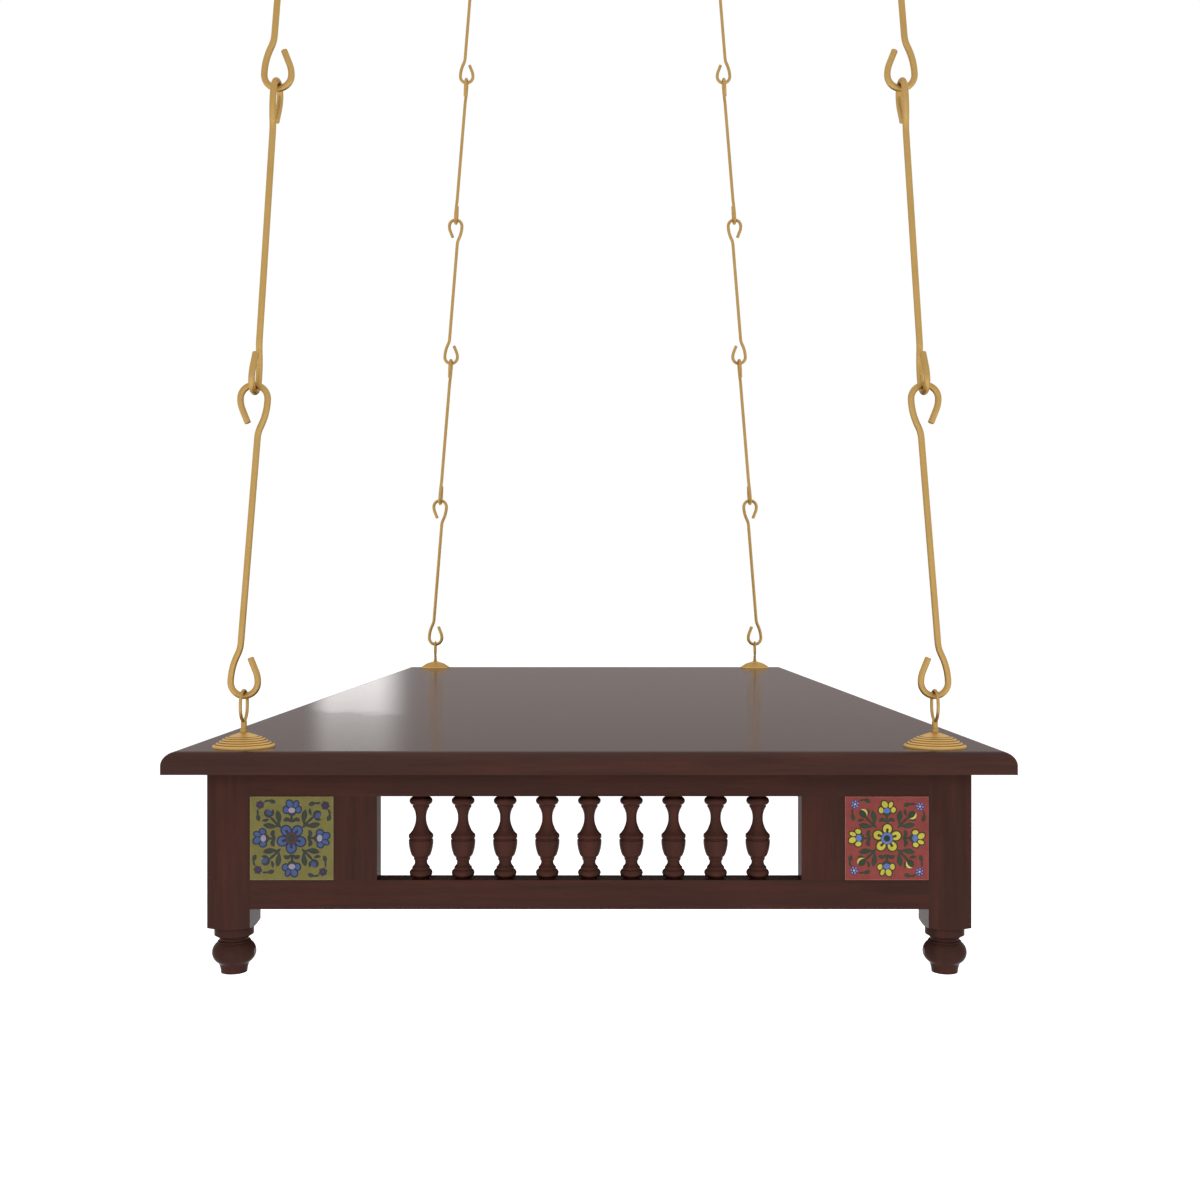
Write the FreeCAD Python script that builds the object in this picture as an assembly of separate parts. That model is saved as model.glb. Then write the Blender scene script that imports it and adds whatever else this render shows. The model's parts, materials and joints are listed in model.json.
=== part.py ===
import FreeCAD
import Part
import math
import os
from FreeCAD import Vector

# A jhoola: a wooden plank seat with a low tiled apron, hung from the ceiling by
# four chains of brass rods. Millimetres, +Z up, X across the seat, Y along it.
# The origin lies under the middle of the seat, at the height of its feet.

# Seat plank
plank_width = 762.0
plank_length = 1524.0
plank_thick = 20.0
plank_edge_round = 12.0
plank_overhang = 32.3

# Apron frame
leg_side = 39.0
leg_drop = 17.0
apron_thick = 22.4
upper_rail_height = 23.6
lower_rail_height = 26.6
stile_width = 39.5
tenon_thick = 6.0
tenon_shoulder = 3.0
rail_tenon_length = 20.0
rail_tenon_margin = 4.0
stile_tenon_length = 8.0
stile_tenon_margin = 7.0
joint_gap = 0.1

# Glazed tiles, each with a block glued behind it
tile_side = 76.2
tile_fit = 0.15
tile_thick = 7.0
tile_proud = 0.8
tile_edge_round = 0.7
backing_gap = 0.3

# Turned foot, under each square leg
foot_height = 44.8
foot_shoulder_drop = 2.3
foot_radius = 19.9

# Turned balusters
baluster_radius = 11.2
baluster_pitch = 38.9
baluster_pin_radius = 4.0
baluster_pin_length = 7.0

# Battens under the plank, with their screws
batten_width = 40.0
batten_height = 20.0
batten_end_gap = 0.4
screw_radius = 2.0
screw_head_radius = 4.0
screw_head_height = 2.6
screw_bite = 12.0
screw_inset = 60.0
screw_gap = 0.05

# Eye bolts, rosettes and barrel nuts
hanger_inset_x = 62.2
hanger_inset_y = 46.0
bolt_radius = 3.0
bolt_hole_gap = 0.1
stem_radius = 2.7
stem_height = 7.2
collar_radius = 3.2
collar_height = 3.3
eye_wire_radius = 1.5
eye_ring_radius = 12.0
eye_side_length = 3.3
eye_foot_radius = 12.9
rosette_radius = 28.4
rosette_height = 13.4
nut_radius = 5.0
nut_length = 14.0
nut_depth = 68.0
bolt_past_nut = 4.0
bolt_hole_spare = 6.0
ceiling_stud_length = 60.0
neck_past_rosette = 1.0

# Hanging rods, each a long S with a hook at both ends
rod_radius = 3.0
rod_reach = 280.7
hook_radius = 12.55
flare_radius = 61.0
flare_angle = 24.6
neck_bend_radius = 30.0
tip_bend_radius = 26.0
tip_bend_angle = 23.7
tip_length = 13.6
tip_chamfer = 0.5
link_gap = 0.3
eye_gap = 0.5
flat_lean_angle = 2.0
turned_lean_angle = 4.34

# How far a cut starts outside the solid it cuts
overrun = 1.0

# Cells of a short and a long side of the apron, from end to end
short_side_cells = ["tile", "stile", "gallery", "stile", "tile"]
long_side_cells = short_side_cells[:-1] + short_side_cells

# Outline of a baluster from its top end down, in shares of its height and radius.
# One pair ends a straight line, and two pairs are the middle and end of an arc.
baluster_top_share = 0.660
baluster_shares = [
    [(0.018, 0.660)],
    [(0.034, 0.800)],
    [(0.073, 0.940), (0.118, 0.705)],
    [(0.123, 0.685)],
    [(0.146, 0.685)],
    [(0.153, 0.650)],
    [(0.200, 0.500), (0.276, 0.420)],
    [(0.335, 0.455), (0.390, 0.580)],
    [(0.437, 0.740), (0.474, 0.970)],
    [(0.480, 1.000)],
    [(0.514, 1.000)],
    [(0.522, 0.935)],
    [(0.534, 0.935)],
    [(0.543, 1.000)],
    [(0.649, 0.940), (0.722, 0.785)],
    [(0.739, 0.690), (0.752, 0.598)],
    [(0.779, 0.590)],
    [(0.786, 0.542)],
    [(0.812, 0.505), (0.839, 0.560)],
    [(0.863, 0.700)],
    [(0.867, 0.728)],
    [(0.888, 0.728)],
    [(0.895, 0.770)],
    [(0.938, 0.945), (0.978, 0.780)],
    [(0.984, 0.640)],
    [(1.000, 0.640)],
]

# Outline of a foot below its shoulder, in shares of its height and its radius
foot_shares = [
    [(0.074, 0.905)],
    [(0.216, 0.905)],
    [(0.288, 0.660)],
    [(0.334, 0.660)],
    [(0.344, 0.735)],
    [(0.366, 0.765)],
    [(0.376, 0.750)],
    [(0.545, 0.999), (0.787, 0.757)],
    [(0.822, 0.692)],
    [(0.895, 0.638), (1.000, 0.603)],
]

# Outline of a rosette from its rim up, in shares of its height and radius
rosette_rim_share = 1.0
rosette_shares = [
    [(0.060, 1.000)],
    [(0.130, 0.990), (0.215, 0.930)],
    [(0.205, 0.900)],
    [(0.270, 0.883)],
    [(0.312, 0.862), (0.345, 0.830)],
    [(0.332, 0.803)],
    [(0.400, 0.787)],
    [(0.444, 0.768), (0.480, 0.737)],
    [(0.468, 0.710)],
    [(0.535, 0.695)],
    [(0.577, 0.674), (0.612, 0.640)],
    [(0.600, 0.613)],
    [(0.660, 0.590)],
    [(0.693, 0.565), (0.718, 0.530)],
    [(0.708, 0.503)],
    [(0.748, 0.475)],
    [(0.878, 0.305), (1.000, 0.125)],
]

# Worked-out sizes and places
tile_slot = tile_side + 2 * tile_fit
frame_width = plank_width - 2 * plank_overhang
frame_length = plank_length - 2 * plank_overhang
lower_rail_z = foot_height + leg_drop
slot_z = lower_rail_z + lower_rail_height
upper_rail_z = slot_z + tile_slot
plank_z = upper_rail_z + upper_rail_height
plank_top = plank_z + plank_thick
hanger_x = plank_width / 2 - hanger_inset_x
hanger_y = plank_length / 2 - hanger_inset_y
nut_z = plank_z - nut_depth
seat_bolt_length = rosette_height + plank_thick + nut_depth + nut_radius + bolt_past_nut
eye_foot_rise = math.sqrt(eye_foot_radius ** 2 - (eye_foot_radius - eye_ring_radius) ** 2)
eye_top_rise = stem_height + collar_height + eye_foot_rise + eye_side_length + eye_ring_radius
contact_rise = rosette_height + eye_top_rise - eye_wire_radius - eye_gap + link_gap / 2

ORIGIN = Vector(0, 0, 0)
X_AXIS = Vector(1, 0, 0)
Y_AXIS = Vector(0, 1, 0)
Z_AXIS = Vector(0, 0, 1)

CORNERS = {
    "front_left": (-1, -1),
    "front_right": (1, -1),
    "back_left": (-1, 1),
    "back_right": (1, 1),
}
SIDES = {"front": 0, "back": 180, "left": -90, "right": 90}


def save(name, solids):
    """Write one node: a single solid, or a group of separate ones."""
    shape = solids[0] if len(solids) == 1 else Part.makeCompound(solids)
    shape.exportStep("parts/" + name + ".step")
    print(name, len(shape.Solids), round(shape.Volume), shape.isValid())


def box(low, high):
    """A box between two opposite corners."""
    size = Vector(*high) - Vector(*low)
    return Part.makeBox(size.x, size.y, size.z, Vector(*low))


def to_corner(shape, signs):
    """Mirror a shape from the -X, -Y corner to another corner."""
    if signs[0] > 0:
        shape = shape.mirror(ORIGIN, X_AXIS)
    if signs[1] > 0:
        shape = shape.mirror(ORIGIN, Y_AXIS)
    return shape


def turned(first_share, rows, radius, height, top_z):
    """A turned solid on the Z axis. Its outline runs down from top_z when height is
    positive, and up from it when height is negative."""
    def place(pair):
        return Vector(pair[1] * radius, 0, top_z - pair[0] * height)

    here = place((0, first_share))
    edges = [Part.LineSegment(Vector(0, 0, top_z), here).toShape()]
    for row in rows:
        end = place(row[-1])
        if len(row) == 1:
            edges.append(Part.LineSegment(here, end).toShape())
        else:
            edges.append(Part.Arc(here, place(row[0]), end).toShape())
        here = end
    foot = Vector(0, 0, here.z)
    edges.append(Part.LineSegment(here, foot).toShape())
    edges.append(Part.LineSegment(foot, Vector(0, 0, top_z)).toShape())
    return Part.Face(Part.Wire(edges)).revolve(ORIGIN, Z_AXIS, 360)


def cylinder(radius, low_z, high_z):
    """An upright cylinder on the Z axis."""
    return Part.makeCylinder(radius, high_z - low_z, Vector(0, 0, low_z))


# Wooden frame


def plank():
    """The seat plank, rounded along its upper edge and drilled for the eye bolts."""
    board = box(
        (-plank_width / 2, -plank_length / 2, plank_z),
        (plank_width / 2, plank_length / 2, plank_top),
    )
    rim = [e for e in board.Edges if abs(e.CenterOfMass.z - plank_top) < joint_gap]
    board = board.makeFillet(plank_edge_round, rim)
    for signs in CORNERS.values():
        hole = cylinder(bolt_radius + bolt_hole_gap, plank_z - overrun, plank_top + overrun)
        hole.translate(Vector(signs[0] * hanger_x, signs[1] * hanger_y, 0))
        board = board.cut(hole)
    for hole in batten_screws(screw_gap):
        board = board.cut(hole)
    return board


def rail_tenon_heights():
    """Low and high Z of the two rails' tenons."""
    return [
        (lower_rail_z + rail_tenon_margin, slot_z - rail_tenon_margin),
        (upper_rail_z + rail_tenon_margin, plank_z - rail_tenon_margin),
    ]


def leg():
    """The -X, -Y leg: square above, turned to a foot below, with four mortises."""
    corner_radius = leg_side / math.sqrt(2) + overrun
    shoulder = [[(foot_shoulder_drop / foot_height, leg_side / 2 / foot_radius)]]
    turning = turned(
        corner_radius / foot_radius, shoulder + foot_shares, foot_radius, foot_height, foot_height
    )
    square = box((-leg_side / 2, -leg_side / 2, 0), (leg_side / 2, leg_side / 2, plank_z))
    upper = cylinder(corner_radius, foot_height, plank_z)
    post = square.common(upper.fuse(turning)).removeSplitter()
    post.translate(Vector((leg_side - frame_width) / 2, (leg_side - frame_length) / 2, 0))
    inner_x = leg_side - frame_width / 2
    inner_y = leg_side - frame_length / 2
    reach = rail_tenon_length + joint_gap
    near = tenon_shoulder - joint_gap
    far = tenon_shoulder + tenon_thick + joint_gap
    for low_z, high_z in rail_tenon_heights():
        low_z, high_z = low_z - joint_gap, high_z + joint_gap
        post = post.cut(box(
            (inner_x - reach, near - frame_length / 2, low_z),
            (inner_x + overrun, far - frame_length / 2, high_z),
        ))
        post = post.cut(box(
            (near - frame_width / 2, inner_y - reach, low_z),
            (far - frame_width / 2, inner_y + overrun, high_z),
        ))
    bolt_end = nut_z - nut_radius - bolt_past_nut - bolt_hole_spare
    bore = cylinder(bolt_radius + bolt_hole_gap, bolt_end, plank_z + overrun)
    bore.translate(Vector(-hanger_x, -hanger_y, 0))
    nut_start = -hanger_y - nut_length / 2 - joint_gap
    nut_bore = Part.makeCylinder(
        nut_radius + joint_gap, inner_y + overrun - nut_start,
        Vector(-hanger_x, nut_start, nut_z), Y_AXIS,
    )
    return post.cut(bore).cut(nut_bore)


def barrel_nut():
    """The -X, -Y barrel nut, across the leg, with its threaded hole upright."""
    nut = Part.makeCylinder(
        nut_radius, nut_length, Vector(-hanger_x, -hanger_y - nut_length / 2, nut_z), Y_AXIS
    )
    hole = cylinder(bolt_radius + screw_gap, nut_z - 2 * nut_radius, nut_z + 2 * nut_radius)
    hole.translate(Vector(-hanger_x, -hanger_y, 0))
    return nut.cut(hole)


def cell_spans(cells, run):
    """Start and end of each cell along a side whose legs stand a run apart."""
    fixed = {"tile": tile_slot, "stile": stile_width}
    used = sum(fixed.get(cell, 0) for cell in cells)
    gallery = (run - used) / cells.count("gallery")
    spans = []
    start = -run / 2
    for cell in cells:
        end = start + fixed.get(cell, gallery)
        spans.append((cell, start, end))
        start = end
    return spans


def gallery_places(start, end):
    """Centres of the balusters that stand between two stiles."""
    spaces = round((end - start) / baluster_pitch)
    return [start + (end - start) * i / spaces for i in range(1, spaces)]


def baluster():
    """One baluster on the Z axis, with a round pin at each end."""
    body = turned(baluster_top_share, baluster_shares, baluster_radius, tile_slot, upper_rail_z)
    pins = cylinder(
        baluster_pin_radius, slot_z - baluster_pin_length, upper_rail_z + baluster_pin_length
    )
    return body.fuse(pins).removeSplitter()


def stile(start, end, gap):
    """A stile with a tenon at each end, or the room for it when gap isn't zero."""
    body = box((start, 0, slot_z), (end, apron_thick, upper_rail_z))
    tenon = box(
        (
            start + stile_tenon_margin - gap,
            (apron_thick - tenon_thick) / 2 - gap,
            slot_z - stile_tenon_length - gap,
        ),
        (
            end - stile_tenon_margin + gap,
            (apron_thick + tenon_thick) / 2 + gap,
            upper_rail_z + stile_tenon_length + gap,
        ),
    )
    return body.fuse(tenon).removeSplitter()


def rail(run, low_z, high_z, spans):
    """A rail with tenons for the legs, mortises for stiles and holes for balusters."""
    body = box((-run / 2, 0, low_z), (run / 2, apron_thick, high_z))
    tenons = box(
        (-run / 2 - rail_tenon_length, tenon_shoulder, low_z + rail_tenon_margin),
        (run / 2 + rail_tenon_length, tenon_shoulder + tenon_thick, high_z - rail_tenon_margin),
    )
    cuts = []
    for cell, start, end in spans:
        if cell == "stile":
            cuts.append(stile(start, end, joint_gap))
        elif cell == "gallery":
            for place in gallery_places(start, end):
                hole = cylinder(
                    baluster_pin_radius + joint_gap,
                    slot_z - baluster_pin_length - joint_gap,
                    upper_rail_z + baluster_pin_length + joint_gap,
                )
                hole.translate(Vector(place, apron_thick / 2, 0))
                cuts.append(hole)
    return body.fuse(tenons).removeSplitter().cut(cuts)


def tile(start):
    """A square tile whose face stands just proud of the apron."""
    low = start + tile_fit
    body = box(
        (low, -tile_proud, slot_z + tile_fit),
        (low + tile_side, tile_thick - tile_proud, slot_z + tile_fit + tile_side),
    )
    rim = [e for e in body.Edges if abs(e.CenterOfMass.y + tile_proud) < joint_gap]
    return body.makeFillet(tile_edge_round, rim)


def tile_backing(start, end):
    """The block behind a tile, flush with the back of the apron."""
    return box(
        (start + joint_gap, tile_thick - tile_proud + backing_gap, slot_z + joint_gap),
        (end - joint_gap, apron_thick, upper_rail_z - joint_gap),
    )


def apron_side(cells, run, half_depth, turn):
    """All the pieces of one side of the apron, grouped by kind."""
    spans = cell_spans(cells, run)
    pieces = {
        "upper_rail": [rail(run, upper_rail_z, plank_z, spans)],
        "lower_rail": [rail(run, lower_rail_z, slot_z, spans)],
        "stiles": [],
        "balusters": [],
        "tiles": [],
        "backings": [],
    }
    for cell, start, end in spans:
        if cell == "stile":
            pieces["stiles"].append(stile(start, end, 0))
        elif cell == "tile":
            pieces["tiles"].append(tile(start))
            pieces["backings"].append(tile_backing(start, end))
        else:
            for place in gallery_places(start, end):
                piece = baluster()
                piece.translate(Vector(place, apron_thick / 2, 0))
                pieces["balusters"].append(piece)
    for group in pieces.values():
        for piece in group:
            piece.translate(Vector(0, -half_depth, 0))
            piece.rotate(ORIGIN, Z_AXIS, turn)
    return pieces


def batten_places():
    """Y of the three battens, a quarter of the frame apart."""
    return [-frame_length / 4, 0, frame_length / 4]


def batten_half_length():
    """Half the length of a batten, which fits between the long upper rails."""
    return frame_width / 2 - apron_thick - batten_end_gap


def batten_screws(gap):
    """The countersunk screws of all battens, or their holes when gap isn't zero."""
    screws = []
    head_z = plank_z - batten_height
    for y in batten_places():
        for share in (-1, 0, 1):
            x = share * (batten_half_length() - screw_inset)
            head = Part.makeCone(
                screw_head_radius + gap, screw_radius + gap, screw_head_height,
                Vector(x, y, head_z),
            )
            shank = Part.makeCylinder(
                screw_radius + gap, batten_height + screw_bite + gap, Vector(x, y, head_z)
            )
            screws.append(head.fuse(shank).removeSplitter())
    return screws


def batten(y):
    """A batten under the plank, drilled for its screws."""
    half = batten_half_length()
    body = box(
        (-half, y - batten_width / 2, plank_z - batten_height),
        (half, y + batten_width / 2, plank_z),
    )
    return body.cut(batten_screws(screw_gap))


# Brass fittings


def rosette():
    """A ridged rosette on the Z axis, standing on z = 0, with a hole for the bolt."""
    body = turned(rosette_rim_share, rosette_shares, rosette_radius, -rosette_height, 0)
    hole = cylinder(bolt_radius + bolt_hole_gap, -overrun, rosette_height + overrun)
    return body.cut(hole)


def tube(edges, radius):
    """A round bar along a path, with flat ends."""
    start = edges[0].Vertexes[0].Point
    heading = edges[0].tangentAt(edges[0].FirstParameter)
    section = Part.Wire([Part.makeCircle(radius, start, heading)])
    return Part.Wire(edges).makePipeShell([section], True, False)


def ring_arc(centre, radius, angles):
    """An arc in the YZ plane through three angles, counted from +Y towards +Z."""
    return Part.Arc(*[
        Vector(
            0,
            centre[0] + radius * math.cos(math.radians(angle)),
            centre[1] + radius * math.sin(math.radians(angle)),
        )
        for angle in angles
    ]).toShape()


def eye_bolt(shank_length):
    """An eye bolt on the Z axis whose collar rests on z = 0, its ring in the YZ plane.
    The ring's two ends run into the tapered top of the stem, and a plain neck leads
    through the rosette to the thicker, threaded shank."""
    stem_top = collar_height + stem_height
    low_z = stem_top + eye_foot_rise
    high_z = low_z + eye_side_length
    offset = eye_foot_radius - eye_ring_radius
    end_y = eye_wire_radius / 3
    turn = math.degrees(math.acos((end_y + offset) / eye_foot_radius))
    ring = tube(
        [
            ring_arc((-offset, low_z), eye_foot_radius, (-turn, -turn / 2, 0)),
            Part.LineSegment(
                Vector(0, eye_ring_radius, low_z), Vector(0, eye_ring_radius, high_z)
            ).toShape(),
            ring_arc((0, high_z), eye_ring_radius, (0, 90, 180)),
            Part.LineSegment(
                Vector(0, -eye_ring_radius, high_z), Vector(0, -eye_ring_radius, low_z)
            ).toShape(),
            ring_arc((offset, low_z), eye_foot_radius, (180, 180 + turn / 2, 180 + turn)),
        ],
        eye_wire_radius,
    )
    taper = Part.makeCone(
        stem_radius, eye_wire_radius, 1.5 * eye_wire_radius, Vector(0, 0, stem_top)
    )
    collar = cylinder(collar_radius, 0, collar_height)
    stem = cylinder(stem_radius, 0, stem_top)
    neck_end = -rosette_height - neck_past_rosette
    neck = cylinder(stem_radius, neck_end, 0)
    shank = cylinder(bolt_radius, -shank_length, neck_end)
    return ring.fuse([collar, stem, taper, neck, shank]).removeSplitter()


def hook_points():
    """Centre line of a rod's lower half in its own plane, as (across, up) pairs from
    the middle of the rod: tip, bend, hook, flare, neck bend and the middle."""
    centre = -(rod_reach + link_gap) / 2 - rod_radius + hook_radius
    bend = math.radians(tip_bend_angle)
    flare = math.radians(flare_angle)
    bend_x = hook_radius - tip_bend_radius * (1 - math.cos(bend))
    bend_z = centre + tip_bend_radius * math.sin(bend)
    half_bend_x = hook_radius - tip_bend_radius * (1 - math.cos(bend / 2))
    half_bend_z = centre + tip_bend_radius * math.sin(bend / 2)
    tip = (bend_x - tip_length * math.sin(bend), bend_z + tip_length * math.cos(bend))
    flare_x = -hook_radius + flare_radius * (1 - math.cos(flare))
    flare_z = centre + flare_radius * math.sin(flare)
    half_flare_x = -hook_radius + flare_radius * (1 - math.cos(flare / 2))
    half_flare_z = centre + flare_radius * math.sin(flare / 2)
    # The straight shank passes the rod's middle and touches the neck bend's circle
    neck_x = flare_x - neck_bend_radius * math.cos(flare)
    neck_z = flare_z + neck_bend_radius * math.sin(flare)
    away = math.hypot(neck_x, neck_z)
    shank_lean = math.atan2(-neck_x, -neck_z) - math.asin(neck_bend_radius / away)
    half_lean = (flare + shank_lean) / 2
    touch = math.sqrt(away ** 2 - neck_bend_radius ** 2)
    return {
        "tip": tip,
        "half_bend": (half_bend_x, half_bend_z),
        "bend": (bend_x, bend_z),
        "hook_start": (hook_radius, centre),
        "hook_bottom": (0, centre - hook_radius),
        "hook_end": (-hook_radius, centre),
        "half_flare": (half_flare_x, half_flare_z),
        "flare": (flare_x, flare_z),
        "half_neck": (
            neck_x + neck_bend_radius * math.cos(half_lean),
            neck_z - neck_bend_radius * math.sin(half_lean),
        ),
        "neck": (-touch * math.sin(shank_lean), -touch * math.cos(shank_lean)),
    }


def rod():
    """A rod about its own middle, in the XZ plane, its lower tip on the +X side."""
    low = {name: Vector(x, 0, z) for name, (x, z) in hook_points().items()}
    lower = [
        Part.LineSegment(low["tip"], low["bend"]).toShape(),
        Part.Arc(low["bend"], low["half_bend"], low["hook_start"]).toShape(),
        Part.Arc(low["hook_start"], low["hook_bottom"], low["hook_end"]).toShape(),
        Part.Arc(low["hook_end"], low["half_flare"], low["flare"]).toShape(),
        Part.Arc(low["flare"], low["half_neck"], low["neck"]).toShape(),
    ]
    shank = Part.LineSegment(low["neck"], low["neck"] * -1).toShape()
    upper = [edge.rotated(ORIGIN, Y_AXIS, 180) for edge in reversed(lower)]
    bar = tube(lower + [shank] + upper, rod_radius)
    tips = [
        e for e in bar.Edges
        if min((e.CenterOfMass - low["tip"]).Length, (e.CenterOfMass + low["tip"]).Length) < overrun
    ]
    return bar.makeChamfer(tip_chamfer, tips)


def chain_leans():
    """Lean of each rod of a chain towards the middle, from the seat up. Rods with
    hooks across the seat and rods with hooks along it take turns."""
    pair = [flat_lean_angle, turned_lean_angle]
    return pair + pair + pair[:1]


def link_points():
    """Where the links of the -X, -Y chain meet, from the seat up to the ceiling."""
    points = [Vector(-hanger_x, -hanger_y, plank_top + contact_rise)]
    for lean in chain_leans():
        angle = math.radians(lean)
        step = Vector(rod_reach * math.sin(angle), 0, rod_reach * math.cos(angle))
        points.append(points[-1] + step)
    return points


def chain_rods():
    """The five rods of the -X, -Y chain, from the seat up."""
    points = link_points()
    rods = []
    for index, lean in enumerate(chain_leans()):
        piece = rod()
        if lean == turned_lean_angle:
            piece.rotate(ORIGIN, Z_AXIS, -90)
        piece.rotate(ORIGIN, Y_AXIS, lean)
        piece.translate((points[index] + points[index + 1]) * 0.5)
        rods.append(piece)
    return rods


def ceiling_height():
    """Height of the ceiling above the feet."""
    return link_points()[-1].z + contact_rise


def main():
    os.makedirs("parts", exist_ok=True)
    save("seat_plank", [plank()])
    post = leg()
    for corner, signs in CORNERS.items():
        save("leg_" + corner, [to_corner(post, signs)])

    backings = []
    for side, turn in SIDES.items():
        short = side in ("front", "back")
        cells = short_side_cells if short else long_side_cells
        run = (frame_width if short else frame_length) - 2 * leg_side
        half_depth = (frame_length if short else frame_width) / 2
        pieces = apron_side(cells, run, half_depth, turn)
        for kind in ("upper_rail", "lower_rail", "stiles", "balusters"):
            save(side + "_" + kind, pieces[kind])
        backings += pieces["backings"]
        for number, piece in enumerate(pieces["tiles"], 1):
            save(side + "_tile_" + str(number), [piece])
    save("tile_backings", backings)
    save("plank_battens", [batten(y) for y in batten_places()])
    save("batten_screws", batten_screws(0))

    seat_rosette = rosette()
    seat_rosette.translate(Vector(-hanger_x, -hanger_y, plank_top))
    seat_eye = eye_bolt(seat_bolt_length)
    seat_eye.translate(Vector(-hanger_x, -hanger_y, plank_top + rosette_height))
    nut = barrel_nut()
    save("seat_rosettes", [to_corner(seat_rosette, signs) for signs in CORNERS.values()])
    save("seat_eye_bolts", [to_corner(seat_eye, signs) for signs in CORNERS.values()])
    save("barrel_nuts", [to_corner(nut, signs) for signs in CORNERS.values()])

    top = link_points()[-1]
    ceiling_rosette = rosette()
    ceiling_rosette.rotate(ORIGIN, X_AXIS, 180)
    ceiling_rosette.translate(Vector(top.x, top.y, ceiling_height()))
    ceiling_eye = eye_bolt(rosette_height + ceiling_stud_length)
    ceiling_eye.rotate(ORIGIN, X_AXIS, 180)
    ceiling_eye.translate(Vector(top.x, top.y, ceiling_height() - rosette_height))
    save("ceiling_rosettes", [to_corner(ceiling_rosette, signs) for signs in CORNERS.values()])
    save("ceiling_eye_bolts", [to_corner(ceiling_eye, signs) for signs in CORNERS.values()])

    for number, piece in enumerate(chain_rods(), 1):
        for corner, signs in CORNERS.items():
            save("rod_" + str(number) + "_" + corner, [to_corner(piece, signs)])


main()
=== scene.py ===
import bmesh
import bpy
import json
import math
import random
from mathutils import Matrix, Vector


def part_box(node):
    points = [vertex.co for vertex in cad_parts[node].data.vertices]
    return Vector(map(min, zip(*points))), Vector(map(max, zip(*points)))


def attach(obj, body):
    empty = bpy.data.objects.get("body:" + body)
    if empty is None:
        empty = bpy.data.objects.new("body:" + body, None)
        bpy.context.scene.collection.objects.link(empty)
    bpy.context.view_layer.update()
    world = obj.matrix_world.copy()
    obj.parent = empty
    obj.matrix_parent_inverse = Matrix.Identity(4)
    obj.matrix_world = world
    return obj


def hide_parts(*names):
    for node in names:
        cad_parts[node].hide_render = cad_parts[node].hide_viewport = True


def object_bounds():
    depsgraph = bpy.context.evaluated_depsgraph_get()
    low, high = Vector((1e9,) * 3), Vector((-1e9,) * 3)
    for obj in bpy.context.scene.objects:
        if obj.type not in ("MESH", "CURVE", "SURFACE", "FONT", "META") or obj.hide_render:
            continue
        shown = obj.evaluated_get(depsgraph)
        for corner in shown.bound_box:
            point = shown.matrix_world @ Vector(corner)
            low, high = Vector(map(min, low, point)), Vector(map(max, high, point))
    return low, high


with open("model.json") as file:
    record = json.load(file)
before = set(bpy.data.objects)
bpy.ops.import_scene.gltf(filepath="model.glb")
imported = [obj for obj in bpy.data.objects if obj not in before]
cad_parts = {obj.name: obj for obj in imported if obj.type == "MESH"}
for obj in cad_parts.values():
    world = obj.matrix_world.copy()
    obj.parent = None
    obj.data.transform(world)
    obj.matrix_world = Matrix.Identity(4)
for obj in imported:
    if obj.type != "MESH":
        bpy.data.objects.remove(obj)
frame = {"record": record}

cad_box = [list(map(float, corner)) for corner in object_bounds()]

# Lengths are in metres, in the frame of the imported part
MM = 0.001
SLOTS = {entry["node"]: entry["material_slot"] for entry in frame["record"]["subparts"]}
NODES = list(SLOTS)
PLANK_LOW, PLANK_HIGH = (Vector(corner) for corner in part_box("seat_plank"))

# Camera: level, looking along +Y, with the image of 1200 x 1200 pixels taken at 40 mm
LENS = 40.0
SENSOR = 36.0
CAMERA_RISE = 135.5 * MM
CAMERA_BACK = 1184.2 * MM
CAMERA_SIDE = 9.8 * MM

WHITE = (1.0, 1.0, 1.0, 1.0)
BLACK = (0.0, 0.0, 0.0, 1.0)


def srgb(red, green, blue):
    """A colour given as 0 to 255 screen values, in the linear form that shaders take."""
    def linear(value):
        value /= 255
        return value / 12.92 if value <= 0.04045 else ((value + 0.055) / 1.055) ** 2.4

    return (linear(red), linear(green), linear(blue), 1.0)


# Small helpers for node materials


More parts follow.
